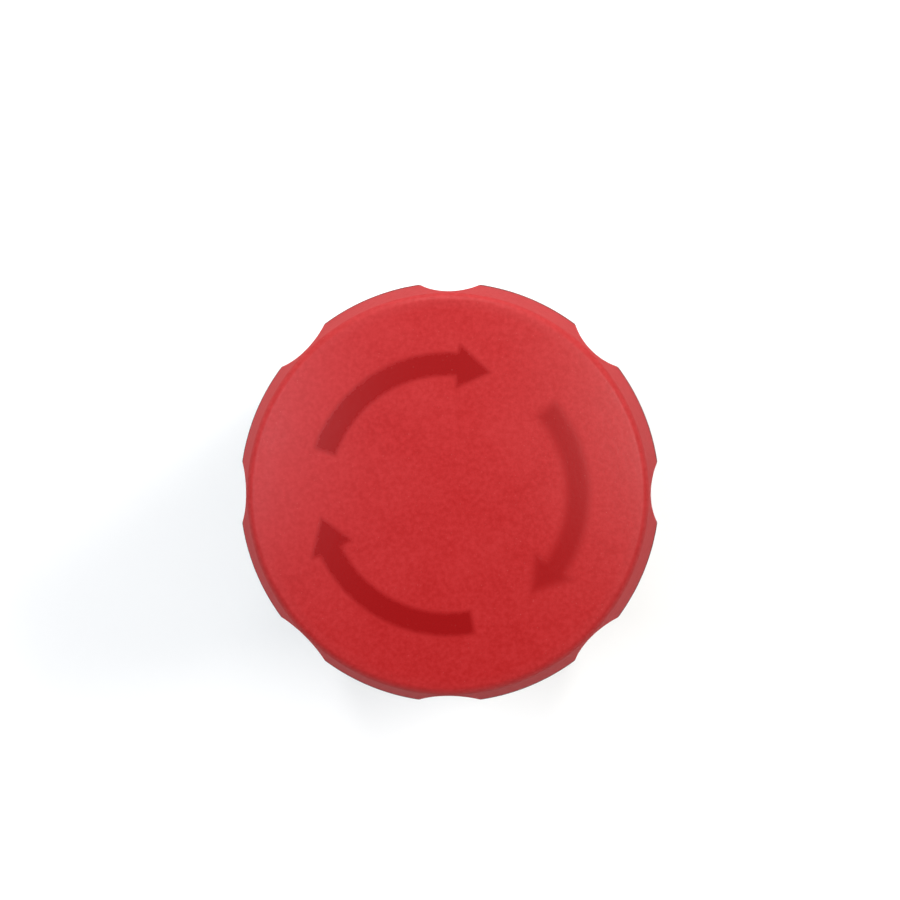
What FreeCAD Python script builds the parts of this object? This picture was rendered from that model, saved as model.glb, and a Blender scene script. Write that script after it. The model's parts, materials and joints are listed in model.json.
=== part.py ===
# Twist-release emergency stop button for a 22 mm panel hole, with a 40 mm scalloped head.
# Millimetres. The origin is on the button's axis in the plane of the panel's front face, and
# +Z points out of the panel, towards the operator. The contact blocks are behind the panel, below Z = 0.
import FreeCAD
import Part
import math
import os

# Head
HEAD_RIM_R = 20.0
HEAD_SHOULDER_R = 18.8
HEAD_DOME_R = 124.0
HEAD_TOP_Z = 29.0
HEAD_SHOULDER_Z = 26.6
HEAD_RIM_Z = 14.4
HEAD_BOTTOM_Z = 13.5
HEAD_EDGE_ROUND = 1.3
RIM_ROUND = 0.5
SKIRT_INNER_R = 18.1
HEAD_SEAT_R = 17.4
HEAD_CAVITY_R = 16.8
HEAD_CAVITY_TOP_Z = 26.3
SCALLOPS = 8
SCALLOP_FLOOR_R = 19.0
SCALLOP_R = 5.5

# Arrows moulded into the head's face
ARROWS = 3
ARROW_IN_R = 11.05
ARROW_OUT_R = 13.2
ARROW_HEAD_IN_R = 9.95
ARROW_HEAD_OUT_R = 14.05
ARROW_TIP_R = 12.0
ARROW_TIP_DEG = 70.5
ARROW_NECK_DEG = 85.5
ARROW_TAIL_DEG = 161.0
ARROW_DEPTH = 0.8

# Strokes
PUSH_TRAVEL = 5.5
BOLT_TRAVEL = 1.4
BLOCK_TRAVEL = 4.0

# Insert, spindle and plunger
INSERT_Z = (16.5, 18.5)
HUB_R = (7.5, 8.9)
DRIVE_PLATE_Z = (23.6, 25.4)
DRIVE_SQUARE = 4.0
SPINDLE_R = 2.95
SPINDLE_Z = (1.0, 26.2)
SPINDLE_SHOULDER_Z = (20.2, 21.2)
PLUNGER_BORE_R = 3.0
PLUNGER_SLEEVE_R = 5.5
PLUNGER_SLEEVE_TOP_Z = 23.0
SEAT_Z = (16.3, 17.0)
SEAT_GROOVE_R = 5.0
PLUNGER_FLANGE_R = 8.1
PLUNGER_FLANGE_TOP_Z = 4.6
PLUNGER_SHAFT_R = 4.5
PLUNGER_SHAFT_FLAT = 3.8
PLUNGER_SHAFT_BOTTOM_Z = -11.6
FOOT_R = 8.5
FOOT_BOTTOM_Z = -15.9

# Bezel housing
FLANGE_R = 15.0
FLANGE_Z = (1.5, 4.5)
COLLAR_R = 13.2
COLLAR_TOP_Z = 10.5
NECK_R = 11.0
NECK_RELIEF_R = 10.8
THREAD_R = 10.8
REGISTER_BOTTOM_Z = -4.0
NECK_BOTTOM_Z = -21.0
CHAMBER_R = 8.2
LATCH_RECESS_R = 9.7
LATCH_CONE_TOP_Z = 2.9
STOP_PLATE_Z = (-11.5, -9.0)
LOWER_BORE_R = 9.0
KEYWAY_WIDTH = 3.0
KEYWAY_FLOOR_R = 10.1
LOCK_GROOVE_Z = (-18.4, -16.0)
LOCK_GROOVE_R = 10.0
LOCK_LUG_HALF_DEG = 25.0
LOCK_TURN_DEG = 40.0

# Panel clamping
GASKET_R = (11.05, 14.6)
PANEL_GAP = 6.2
WASHER_THICKNESS = 1.0
NUT_THICKNESS = 5.0
NUT_ACROSS_FLATS = 27.0
NUT_BORE_R = 11.05

# Contact carrier and blocks
CARRIER_SIDE = 28.0
CARRIER_CORNER_R = 4.0
CARRIER_Z = (-22.0, -13.0)
CARRIER_SPLIT_Z = -15.9
CARRIER_SCREW_XY = 10.9
BLOCK_X = 6.6
BLOCK_HALF = (6.4, 14.0)
BLOCK_SPLIT_Z = -23.4
BLOCK_BOTTOM_Z = -42.0
BLOCK_FLOOR_Z = -40.8
CAVITY_HALF = (5.4, 12.8)
BRIDGE_CHAMBER_Y = 5.9
WELL_Y = (6.9, 12.8)
WELL_HALF_X = 2.8
STRIP_Z = (-32.0, -31.2)
TERMINAL_Y = 10.0
TIP_Y = 3.7
TIP_R = 1.0
TIP_THICKNESS = 0.5
NC_FIXED_Z = -28.5
NO_GAP = 2.4
SCREW_HEAD_TOP_Z = -35.6
SCREW_SHANK_R = 1.5
SCREW_HEAD_R = 2.5
FIT = 0.05

UP = FreeCAD.Vector(0, 0, 1)


def cylinder(r, z0, z1, x=0.0, y=0.0):
    return Part.makeCylinder(r, z1 - z0, FreeCAD.Vector(x, y, z0), UP)


def ring(inner, outer, z0, z1, x=0.0, y=0.0):
    return cylinder(outer, z0, z1, x, y).cut(cylinder(inner, z0 - 1, z1 + 1, x, y))


def block(x0, x1, y0, y1, z0, z1):
    return Part.makeBox(x1 - x0, y1 - y0, z1 - z0, FreeCAD.Vector(x0, y0, z0))


def sector(inner, outer, z0, z1, middle_deg, half_deg):
    """Part of a ring, from middle_deg - half_deg to middle_deg + half_deg about Z."""
    wedge = Part.makeCylinder(outer, z1 - z0, FreeCAD.Vector(0, 0, z0), UP, 2 * half_deg)
    wedge.rotate(FreeCAD.Vector(0, 0, 0), UP, middle_deg - half_deg)
    return wedge.cut(cylinder(inner, z0 - 1, z1 + 1))


def revolve(outline):
    """Turns a closed outline of (radius, height) points about Z."""
    points = [FreeCAD.Vector(r, 0, z) for r, z in outline]
    face = Part.Face(Part.makePolygon(points + points[:1]))
    return face.revolve(FreeCAD.Vector(0, 0, 0), UP, 360)


def prism(outline, z0, z1):
    """Raises a closed outline of (x, y) points from z0 to z1."""
    points = [FreeCAD.Vector(x, y, z0) for x, y in outline]
    return Part.Face(Part.makePolygon(points + points[:1])).extrude(FreeCAD.Vector(0, 0, z1 - z0))


def rounded_square(side, corner, z0, z1):
    shape = block(-side / 2, side / 2, -side / 2, side / 2, z0, z1)
    uprights = [e for e in shape.Edges if abs(e.Vertexes[0].Z - e.Vertexes[1].Z) > 0.1]
    return shape.makeFillet(corner, uprights)


def coil(mean_r, wire, z0, z1, turns, x=0.0, y=0.0):
    """A compression spring whose ends lie within z0 and z1."""
    height = z1 - z0 - wire
    helix = Part.makeHelix(height / turns, height, mean_r)
    start = helix.Vertexes[0].Point
    along = FreeCAD.Vector(0, 1, height / turns / (2 * math.pi * mean_r))
    section = Part.Wire(Part.makeCircle(wire / 2, start, along))
    spring = Part.Wire(helix.Edges).makePipeShell([section], True, True)
    spring.translate(FreeCAD.Vector(x, y, z0 + wire / 2))
    return Part.Solid(spring) if spring.ShapeType != "Solid" else spring


def polar(r, deg):
    return (r * math.cos(math.radians(deg)), r * math.sin(math.radians(deg)))


def turned(shape, deg):
    copy = shape.copy()
    copy.rotate(FreeCAD.Vector(0, 0, 0), UP, deg)
    return copy


def head_blank():
    """The head's outer form: domed face, rounded shoulder, and a wall that flares to the rim."""
    lean = (HEAD_RIM_R - HEAD_SHOULDER_R) / (HEAD_SHOULDER_Z - HEAD_RIM_Z)
    ball = Part.makeSphere(HEAD_DOME_R, FreeCAD.Vector(0, 0, HEAD_TOP_Z - HEAD_DOME_R))
    over = HEAD_TOP_Z + 1
    blank = revolve([
        (0, HEAD_BOTTOM_Z),
        (HEAD_RIM_R - 0.1, HEAD_BOTTOM_Z),
        (HEAD_RIM_R, HEAD_RIM_Z),
        (HEAD_RIM_R - lean * (over - HEAD_RIM_Z), over),
        (0, over),
    ])
    blank = blank.common(ball)
    flat_rings = [e for e in blank.Edges if e.BoundBox.ZLength < 0.01 and e.BoundBox.XLength > 30]
    shoulder = max(flat_rings, key=lambda e: e.BoundBox.ZMax)
    blank = blank.makeFillet(HEAD_EDGE_ROUND, [shoulder])
    flat_rings = [e for e in blank.Edges if e.BoundBox.ZLength < 0.01 and e.BoundBox.XLength > 30]
    rim = min(flat_rings, key=lambda e: e.BoundBox.ZMax)
    return blank.makeFillet(RIM_ROUND, [rim])


def arrow_prisms():
    """Three arrows round the axis that point clockwise as the operator sees them."""
    middle = (ARROW_NECK_DEG + ARROW_TAIL_DEG) / 2
    shaft = sector(ARROW_IN_R, ARROW_OUT_R, 20, 40, middle, (ARROW_TAIL_DEG - ARROW_NECK_DEG) / 2)
    point = prism([
        polar(ARROW_HEAD_IN_R, ARROW_NECK_DEG),
        polar(ARROW_TIP_R, ARROW_TIP_DEG),
        polar(ARROW_HEAD_OUT_R, ARROW_NECK_DEG),
    ], 20, 40)
    arrow = shaft.fuse(point).removeSplitter()
    return [turned(arrow, 360 / ARROWS * i) for i in range(ARROWS)]


def arrow_solids(blank):
    lowered = Part.makeSphere(HEAD_DOME_R, FreeCAD.Vector(0, 0, HEAD_TOP_Z - HEAD_DOME_R - ARROW_DEPTH))
    return [p.common(blank).cut(lowered) for p in arrow_prisms()]


def head_cap(blank, arrows):
    cavity = revolve([
        (0, HEAD_BOTTOM_Z - 1),
        (SKIRT_INNER_R, HEAD_BOTTOM_Z - 1),
        (SKIRT_INNER_R, HEAD_BOTTOM_Z + 0.6),
        (HEAD_SEAT_R, INSERT_Z[0] - 0.4),
        (HEAD_SEAT_R, INSERT_Z[1]),
        (HEAD_CAVITY_R, INSERT_Z[1]),
        (HEAD_CAVITY_R, HEAD_CAVITY_TOP_Z - 1.2),
        (HEAD_CAVITY_R - 1.2, HEAD_CAVITY_TOP_Z),
        (0, HEAD_CAVITY_TOP_Z),
    ])
    cap = blank.cut(cavity)
    for i in range(SCALLOPS):
        x, y = polar(SCALLOP_FLOOR_R + SCALLOP_R, 360 / SCALLOPS * i)
        cap = cap.cut(cylinder(SCALLOP_R, HEAD_BOTTOM_Z - 1, HEAD_TOP_Z, x, y))
    for arrow in arrows:
        cap = cap.cut(arrow)
    return cap


def head_insert():
    """The disc that closes the head from below. Its hub carries the head on the spindle."""
    disc = ring(HUB_R[0], HEAD_SEAT_R, *INSERT_Z)
    hub = ring(HUB_R[0], HUB_R[1], INSERT_Z[1] - 0.1, HEAD_CAVITY_TOP_Z)
    plate = cylinder(HUB_R[0] + 0.1, *DRIVE_PLATE_Z)
    half = DRIVE_SQUARE / 2
    drive = block(-half, half, -half, half, DRIVE_PLATE_Z[0] - 1, DRIVE_PLATE_Z[1] + 1)
    insert = disc.fuse([hub, plate]).cut(drive)
    for i in range(8):
        rib = block(HUB_R[1] - 0.2, HEAD_CAVITY_R - 0.6, -0.6, 0.6, INSERT_Z[1] - 0.1, INSERT_Z[1] + 3.5)
        insert = insert.fuse(turned(rib, 45 * i + 22.5))
    return insert.removeSplitter()


def cam_spindle():
    half = DRIVE_SQUARE / 2
    shaft = cylinder(SPINDLE_R, *SPINDLE_Z)
    shoulder = cylinder(3.9, *SPINDLE_SHOULDER_Z)
    top = DRIVE_PLATE_Z[0]
    square = block(-half, half, -half, half, top, SPINDLE_Z[1])
    upper = block(-5, 5, -5, 5, top, SPINDLE_Z[1] + 1)
    spindle = shaft.fuse(shoulder).cut(upper).fuse(square.common(cylinder(SPINDLE_R, top, SPINDLE_Z[1])))
    spindle = spindle.cut(ring(1.6, 5, DRIVE_PLATE_Z[1], DRIVE_PLATE_Z[1] + 0.6))
    for side in (-1, 1):
        flat = block(2.0, 4.0, -4, 4, SPINDLE_Z[0] - 1, PLUNGER_FLANGE_TOP_Z)
        spindle = spindle.cut(turned(flat, 0 if side > 0 else 180))
    return spindle


def head_clip():
    """Spring clip in the spindle's top groove, which holds the head on."""
    clip = ring(1.6, 3.4, DRIVE_PLATE_Z[1], DRIVE_PLATE_Z[1] + 0.6)
    return clip.cut(block(-1.3, 1.3, 0, 5, DRIVE_PLATE_Z[1] - 1, DRIVE_PLATE_Z[1] + 1))


def spring_seat():
    """Snap ring on the plunger's sleeve. It carries the lower end of the torsion spring."""
    seat = ring(SEAT_GROOVE_R, 7.0, *SEAT_Z)
    return seat.cut(block(-1.5, 1.5, 0, 8, SEAT_Z[0] - 1, SEAT_Z[1] + 1))


def torsion_spring():
    """Turns the head back after a twist. It lies round the plunger's sleeve, inside the hub."""
    return coil(6.5, 0.8, SEAT_Z[1], DRIVE_PLATE_Z[0] - 0.1, 6)


def plunger():
    body = revolve([
        (0, PLUNGER_SHAFT_BOTTOM_Z),
        (PLUNGER_SHAFT_R, PLUNGER_SHAFT_BOTTOM_Z),
        (PLUNGER_SHAFT_R, 0),
        (PLUNGER_FLANGE_R, 0),
        (PLUNGER_FLANGE_R, PLUNGER_FLANGE_TOP_Z),
        (PLUNGER_SLEEVE_R, PLUNGER_FLANGE_TOP_Z),
        (PLUNGER_SLEEVE_R, SEAT_Z[0]),
        (SEAT_GROOVE_R, SEAT_Z[0]),
        (SEAT_GROOVE_R, SEAT_Z[1]),
        (PLUNGER_SLEEVE_R, SEAT_Z[1]),
        (PLUNGER_SLEEVE_R, PLUNGER_SLEEVE_TOP_Z),
        (0, PLUNGER_SLEEVE_TOP_Z),
    ])
    body = body.cut(cylinder(PLUNGER_BORE_R, SPINDLE_Z[0] - 0.4, PLUNGER_SLEEVE_TOP_Z + 1))
    body = body.cut(cylinder(4.0, SPINDLE_SHOULDER_Z[0], PLUNGER_SLEEVE_TOP_Z + 1))
    body = body.cut(cylinder(4.4, SPINDLE_SHOULDER_Z[1] + 0.1, SPINDLE_SHOULDER_Z[1] + 0.9))
    body = body.cut(cylinder(1.25, PLUNGER_SHAFT_BOTTOM_Z - 1, -3.5))
    for side in (0, 180):
        flat = block(PLUNGER_SHAFT_FLAT, 6, -6, 6, PLUNGER_SHAFT_BOTTOM_Z - 1, 0)
        body = body.cut(turned(flat, side))
        slot = block(3.6, 9, -1.55, 1.55, 1.0, 3.6)
        body = body.cut(turned(slot, side))
    return body


def spindle_circlip():
    z = SPINDLE_SHOULDER_Z[1] + 0.1
    clip = ring(3.1, 4.4, z, z + 0.8)
    return clip.cut(block(0, 6, -1.0, 1.0, z - 1, z + 2))


def latch_bolt(side_deg):
    """Wedge-nosed bolt that slides out of the plunger's flange into the housing's recess."""
    bolt = block(4.2, 7.9, -1.5, 1.5, 1.05, 3.55)
    for z, lean in ((3.55, -1), (1.05, 1)):
        nose = prism([(7.0, 0), (7.9, 0), (7.9, 0.8)], -2, 2)
        nose.rotate(FreeCAD.Vector(0, 0, 0), FreeCAD.Vector(1, 0, 0), 90)
        if lean < 0:
            nose = nose.mirror(FreeCAD.Vector(0, 0, 0), UP)
        nose.translate(FreeCAD.Vector(0, 0, z))
        bolt = bolt.cut(nose)
    pocket = Part.makeCylinder(1.0, 2.0, FreeCAD.Vector(4.2, 0, 2.3), FreeCAD.Vector(1, 0, 0))
    return turned(bolt.cut(pocket), side_deg)


def latch_springs():
    springs = []
    for side in (0, 180):
        spring = coil(0.65, 0.35, 0, 2.6, 4)
        spring.rotate(FreeCAD.Vector(0, 0, 0), FreeCAD.Vector(0, 1, 0), 90)
        spring.translate(FreeCAD.Vector(3.6, 0, 2.3))
        springs.append(turned(spring, side))
    return springs


def return_spring():
    return coil(6.6, 0.8, STOP_PLATE_Z[1], 0, 4)


def actuator_foot():
    """Disc under the plunger. It presses both contact blocks and stops the plunger at rest."""
    foot = cylinder(FOOT_R, FOOT_BOTTOM_Z, -13.4).fuse(cylinder(5.6, -13.5, PLUNGER_SHAFT_BOTTOM_Z))
    foot = foot.removeSplitter().cut(cylinder(1.6, FOOT_BOTTOM_Z - 1, 0))
    return foot.cut(cylinder(3.0, FOOT_BOTTOM_Z - 1, FOOT_BOTTOM_Z + 1.8))


def cross_slot(r, width, z0, z1, x=0.0, y=0.0):
    half = width / 2
    return block(x - r, x + r, y - half, y + half, z0, z1).fuse(
        block(x - half, x + half, y - r, y + r, z0, z1))


def foot_screw():
    head_z = FOOT_BOTTOM_Z + 1.8
    screw = cylinder(2.75, head_z - 1.6, head_z).fuse(cylinder(1.25, head_z - 0.1, -4.0))
    return screw.removeSplitter().cut(cross_slot(1.7, 0.6, head_z - 2, head_z - 0.7))


def bezel_housing():
    """Flange and collar in front of the panel, and the neck that goes through it."""
    outside = revolve([
        (0, NECK_BOTTOM_Z),
        (THREAD_R - 0.6, NECK_BOTTOM_Z),
        (THREAD_R, NECK_BOTTOM_Z + 0.6),
        (THREAD_R, REGISTER_BOTTOM_Z),
        (NECK_R, REGISTER_BOTTOM_Z),
        (NECK_R, 0),
        (NECK_RELIEF_R, 0),
        (NECK_RELIEF_R, FLANGE_Z[0]),
        (FLANGE_R, FLANGE_Z[0]),
        (FLANGE_R, FLANGE_Z[1] - 0.9),
        (FLANGE_R - 0.9, FLANGE_Z[1]),
        (COLLAR_R, FLANGE_Z[1]),
        (COLLAR_R, COLLAR_TOP_Z - 0.6),
        (COLLAR_R - 0.6, COLLAR_TOP_Z),
        (0, COLLAR_TOP_Z),
    ])
    recess_floor_z = -4.8
    slope = BOLT_TRAVEL / PUSH_TRAVEL
    cone_end_z = LATCH_CONE_TOP_Z - (LATCH_RECESS_R - CHAMBER_R) / slope
    inside = cylinder(LOWER_BORE_R, NECK_BOTTOM_Z - 1, STOP_PLATE_Z[1]).fuse([
        revolve([
            (0, STOP_PLATE_Z[1] - 1),
            (CHAMBER_R, STOP_PLATE_Z[1] - 1),
            (CHAMBER_R, recess_floor_z),
            (LATCH_RECESS_R, recess_floor_z),
            (LATCH_RECESS_R, cone_end_z),
            (CHAMBER_R, LATCH_CONE_TOP_Z),
            (CHAMBER_R, 5.0),
            (0, 5.0),
        ]),
        cylinder(PLUNGER_SLEEVE_R + FIT, 4, COLLAR_TOP_Z + 1),
        cylinder(9.0, 7.6, 9.5),
        cylinder(11.2, 9.4, COLLAR_TOP_Z + 1),
    ])
    housing = outside.cut(inside)
    keyway = block(-KEYWAY_WIDTH / 2, KEYWAY_WIDTH / 2, KEYWAY_FLOOR_R, 12, -14, 0)
    housing = housing.cut(keyway)
    housing = housing.cut(ring(LOCK_GROOVE_R, 12, *LOCK_GROOVE_Z))
    for deg in (0, 180):
        entry = sector(LOCK_GROOVE_R, 12, NECK_BOTTOM_Z - 1, LOCK_GROOVE_Z[1],
                       deg - LOCK_TURN_DEG, LOCK_LUG_HALF_DEG - 8)
        housing = housing.cut(entry)
    notch = prism([(-1.2, FLANGE_R + 0.5), (1.2, FLANGE_R + 0.5), (0, FLANGE_R - 1.3)], 3.6, 5)
    return housing.cut(notch)


def stop_plate():
    """Pressed up the neck after the plunger. The flats in its hole stop the plunger from turning."""
    z0, z1 = STOP_PLATE_Z
    half = PLUNGER_SHAFT_FLAT + FIT
    hole = cylinder(PLUNGER_SHAFT_R + 0.1, z0 - 1, z1 + 1)
    plate = cylinder(LOWER_BORE_R, z0, z1).cut(hole.common(block(-half, half, -6, 6, z0 - 1, z1 + 1)))
    return plate.cut(ring(7.0, 8.0, z0 - 1, z0 + 1.2))


def lip_seal():
    return revolve([
        (PLUNGER_SLEEVE_R + 1.4, 7.6),
        (9.0, 7.6),
        (9.0, 9.4),
        (PLUNGER_SLEEVE_R + 1.0, 9.4),
        (PLUNGER_SLEEVE_R + FIT, 8.9),
        (PLUNGER_SLEEVE_R + FIT, 8.5),
        (PLUNGER_SLEEVE_R + 1.4, 8.5),
    ])


def seal_retainer():
    return revolve([
        (PLUNGER_SLEEVE_R + 0.9, 9.4),
        (11.2, 9.4),
        (11.2, COLLAR_TOP_Z - 0.3),
        (10.9, COLLAR_TOP_Z),
        (PLUNGER_SLEEVE_R + 1.6, COLLAR_TOP_Z),
        (PLUNGER_SLEEVE_R + 0.9, COLLAR_TOP_Z - 0.5),
    ])


def panel_gasket():
    gasket = ring(GASKET_R[0], GASKET_R[1], 0, FLANGE_Z[0])
    return gasket.cut(ring(GASKET_R[1] - 0.4, 16, 0.5, 1.0))


def key_washer():
    z1 = -PANEL_GAP
    z0 = z1 - WASHER_THICKNESS
    washer = ring(11.15, 14.5, z0, z1)
    tab = block(-1.35, 1.35, KEYWAY_FLOOR_R + 0.15, 11.5, z0, z1)
    return washer.fuse(tab).removeSplitter()


def lock_nut():
    z1 = -PANEL_GAP - WASHER_THICKNESS
    z0 = z1 - NUT_THICKNESS
    corner = NUT_ACROSS_FLATS / math.sqrt(3)
    nut = prism([polar(corner, 60 * i + 30) for i in range(6)], z0, z1)
    chamfer = 0.8
    envelope = revolve([
        (0, z0),
        (corner - 1.5, z0),
        (corner + 0.05, z0 + chamfer),
        (corner + 0.05, z1 - chamfer),
        (corner - 1.5, z1),
        (0, z1),
    ])
    nut = nut.common(envelope).cut(cylinder(NUT_BORE_R, z0 - 1, z1 + 1))
    for z, r in ((z0, NUT_BORE_R + 0.5), (z1, NUT_BORE_R + 0.5)):
        lead = Part.makeCone(r, NUT_BORE_R, 0.5, FreeCAD.Vector(0, 0, z), UP if z == z0 else UP * -1)
        nut = nut.cut(lead)
    return nut


def carrier_screw_points():
    c = CARRIER_SCREW_XY
    return [(c, c), (-c, c), (-c, -c), (c, -c)]


def carrier_cap():
    cap = rounded_square(CARRIER_SIDE, CARRIER_CORNER_R, CARRIER_SPLIT_Z, CARRIER_Z[1])
    top = [e for e in cap.Edges if e.BoundBox.ZMin > CARRIER_Z[1] - 0.01]
    cap = cap.makeChamfer(0.6, top).cut(cylinder(NECK_R + 0.1, -30, 0))
    for x, y in carrier_screw_points():
        cap = cap.cut(cylinder(1.15, -30, 0, x, y)).cut(cylinder(2.0, CARRIER_Z[1] - 1.4, 0, x, y))
    return cap


def carrier_screws():
    screws = []
    for x, y in carrier_screw_points():
        head_z = CARRIER_Z[1] - 1.4
        screw = cylinder(1.85, head_z, head_z + 1.2, x, y)
        screw = screw.fuse(cylinder(0.95, -20.5, head_z + 0.1, x, y)).removeSplitter()
        screws.append(screw.cut(cross_slot(1.2, 0.45, head_z + 0.5, head_z + 2, x, y)))
    return screws


def carrier_base():
    base = rounded_square(CARRIER_SIDE, CARRIER_CORNER_R, CARRIER_Z[0], CARRIER_SPLIT_Z)
    base = base.cut(cylinder(NECK_R + 0.1, NECK_BOTTOM_Z, 0)).cut(cylinder(9.2, -30, 0))
    base = base.cut(cylinder(13.5, -18.5, 0))
    base = base.cut(block(8, 15, -8.5, 8.5, -18.5, 0))
    for x, y in carrier_screw_points():
        base = base.cut(cylinder(0.95, -20.5, 0, x, y))
    for x in (-BLOCK_X, BLOCK_X):
        for y in (-12.3, 12.3):
            base = base.cut(block(x - 1.6, x + 1.6, y - 0.9, y + 0.9, -23, -19.5))
    return base


def lock_ring():
    """Turns in the carrier. Its two lugs hold the carrier on the neck's groove."""
    z0, z1 = -18.3, -16.1
    body = ring(11.15, 13.3, z0, z1)
    for deg in (0, 180):
        body = body.fuse(sector(LOCK_GROOVE_R + 0.1, 11.3, z0, z1, deg, LOCK_LUG_HALF_DEG - 9))
    handle = block(12.8, 17.6, -1.7, 1.7, z0, z1)
    tip = [e for e in handle.Edges if e.BoundBox.XMin > 17.5 and e.BoundBox.ZLength > 1]
    handle = handle.makeFillet(1.2, tip)
    return body.fuse(turned(handle, LOCK_TURN_DEG / 2)).removeSplitter()


def block_case(x):
    """Box for one contact set, open at the top: a bridge chamber between two screw wells."""
    hx, hy = BLOCK_HALF
    cx, cy = CAVITY_HALF
    case = block(x - hx, x + hx, -hy, hy, BLOCK_BOTTOM_Z, BLOCK_SPLIT_Z)
    uprights = [e for e in case.Edges if e.BoundBox.ZLength > 5]
    case = case.makeFillet(0.8, uprights)
    bottom = [e for e in case.Edges if e.BoundBox.ZMax < BLOCK_BOTTOM_Z + 0.01]
    case = case.makeChamfer(0.5, bottom)
    case = case.cut(block(x - cx, x + cx, -cy, cy, STRIP_Z[0], 0))
    case = case.cut(block(x - cx, x + cx, -BRIDGE_CHAMBER_Y, BRIDGE_CHAMBER_Y, BLOCK_FLOOR_Z, 0))
    for side in (-1, 1):
        y0, y1 = sorted((side * WELL_Y[0], side * WELL_Y[1]))
        case = case.cut(block(x - WELL_HALF_X, x + WELL_HALF_X, y0, y1, BLOCK_FLOOR_Z, 0))
        case = case.cut(cylinder(SCREW_HEAD_R + 0.25, BLOCK_BOTTOM_Z - 1, BLOCK_FLOOR_Z + 1, x, side * TERMINAL_Y))
        y0, y1 = sorted((side * (WELL_Y[1] - 0.5), side * (hy + 1)))
        case = case.cut(block(x - 1.9, x + 1.9, y0, y1, STRIP_Z[0] - 3.9, STRIP_Z[0] - 0.1))
    return case


def block_lid(x):
    hx, hy = BLOCK_HALF
    lid = block(x - hx, x + hx, -hy, hy, BLOCK_SPLIT_Z, CARRIER_Z[0])
    uprights = [e for e in lid.Edges if e.BoundBox.ZLength > 1]
    lid = lid.makeFillet(0.8, uprights)
    lid = lid.cut(block(x - 1.7, x + 1.7, -1.9, 1.9, -30, 0))
    for y in (-12.3, 12.3):
        lid = lid.fuse(block(x - 1.5, x + 1.5, y - 0.8, y + 0.8, CARRIER_Z[0] - 0.2, -19.7))
    return lid.removeSplitter()


def terminal(x, side, raised):
    """Brass strip with the clamp screw's thread. The normally closed one steps up over its bridge."""
    z0, z1 = STRIP_Z
    thickness = z1 - z0
    if raised:
        top = NC_FIXED_Z + TIP_THICKNESS
        strip = block(x - 3.3, x + 3.3, 6.4, 12.6, z0, z1)
        strip = strip.fuse([
            block(x - 2, x + 2, 6.4, 6.4 + thickness, z0, top + thickness),
            block(x - 2, x + 2, TIP_Y - TIP_R - 0.1, 6.5, top, top + thickness),
        ])
    else:
        strip = block(x - 3.3, x + 3.3, 6.4, 12.6, z0, z1)
        strip = strip.fuse(block(x - 2, x + 2, TIP_Y - TIP_R - 0.1, 6.5, z0, z1))
    strip = strip.removeSplitter().cut(cylinder(SCREW_SHANK_R + FIT, -40, -20, x, TERMINAL_Y))
    if side < 0:
        strip = strip.mirror(FreeCAD.Vector(0, 0, 0), FreeCAD.Vector(0, 1, 0))
    return strip


def tips(x, z0, z1):
    return [cylinder(TIP_R, z0, z1, x, side * TIP_Y) for side in (-1, 1)]


def bridge(x, z0):
    strap = block(x - 1.5, x + 1.5, -5.0, 5.0, z0, z0 + 0.8)
    ends = [e for e in strap.Edges if e.BoundBox.ZLength > 0.5]
    return strap.makeFillet(0.8, ends)


def block_plunger(x, bottom_z, window_z):
    """Presses the bridge. Its shoulder stops against the lid, and the bridge lies in its window."""
    top_z = FOOT_BOTTOM_Z - (PUSH_TRAVEL - BLOCK_TRAVEL) - FIT
    shoulder_z = BLOCK_SPLIT_Z - 0.1
    stem = block(x - 1.6, x + 1.6, -1.8, 1.8, shoulder_z - 0.1, top_z)
    crown = [e for e in stem.Edges if e.BoundBox.ZMin > top_z - 0.01]
    stem = stem.makeFillet(0.5, crown)
    body = block(x - 3.0, x + 3.0, -1.8, 1.8, bottom_z, shoulder_z)
    low_z, high_z = window_z
    return body.fuse(stem).removeSplitter().cut(block(x - 1.8, x + 1.8, -3, 3, low_z, high_z))


def saddle(x, side):
    """Captive clamp plate that the terminal screw lifts against the strip, with the wire between."""
    y = side * TERMINAL_Y
    plate = block(x - 2.5, x + 2.5, y - 2.4, y + 2.4, SCREW_HEAD_TOP_Z, SCREW_HEAD_TOP_Z + 1.0)
    return plate.cut(cylinder(SCREW_SHANK_R + FIT, -40, -20, x, y))


def terminal_screw(x, side):
    y = side * TERMINAL_Y
    head = cylinder(SCREW_HEAD_R, SCREW_HEAD_TOP_Z - 2.0, SCREW_HEAD_TOP_Z, x, y)
    foot = [e for e in head.Edges if e.BoundBox.ZMax < SCREW_HEAD_TOP_Z - 1.9]
    head = head.makeFillet(0.5, foot)
    shank = cylinder(SCREW_SHANK_R, SCREW_HEAD_TOP_Z - 0.1, STRIP_Z[1] + 0.6, x, y)
    slot = cross_slot(1.7, 0.6, SCREW_HEAD_TOP_Z - 3, SCREW_HEAD_TOP_Z - 1.1, x, y)
    return head.fuse(shank).removeSplitter().cut(slot)


def closed_block():
    """Normally closed set: the bridge is pressed up against tips above it, and the plunger opens it."""
    x = -BLOCK_X
    under_tips = NC_FIXED_Z - TIP_THICKNESS
    bridge_z = under_tips - 0.8
    nodes = {
        "nc_case": block_case(x),
        "nc_lid": block_lid(x),
        "nc_plunger": block_plunger(x, -35.0, (-36.0, under_tips + 0.4)),
        "nc_bridge": bridge(x, bridge_z),
        "nc_bridge_tips": tips(x, under_tips, NC_FIXED_Z),
        "nc_fixed_tips": tips(x, NC_FIXED_Z, NC_FIXED_Z + TIP_THICKNESS),
        "nc_contact_spring": coil(1.2, 0.4, BLOCK_FLOOR_Z, bridge_z, 8, x),
    }
    return x, True, nodes


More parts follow.
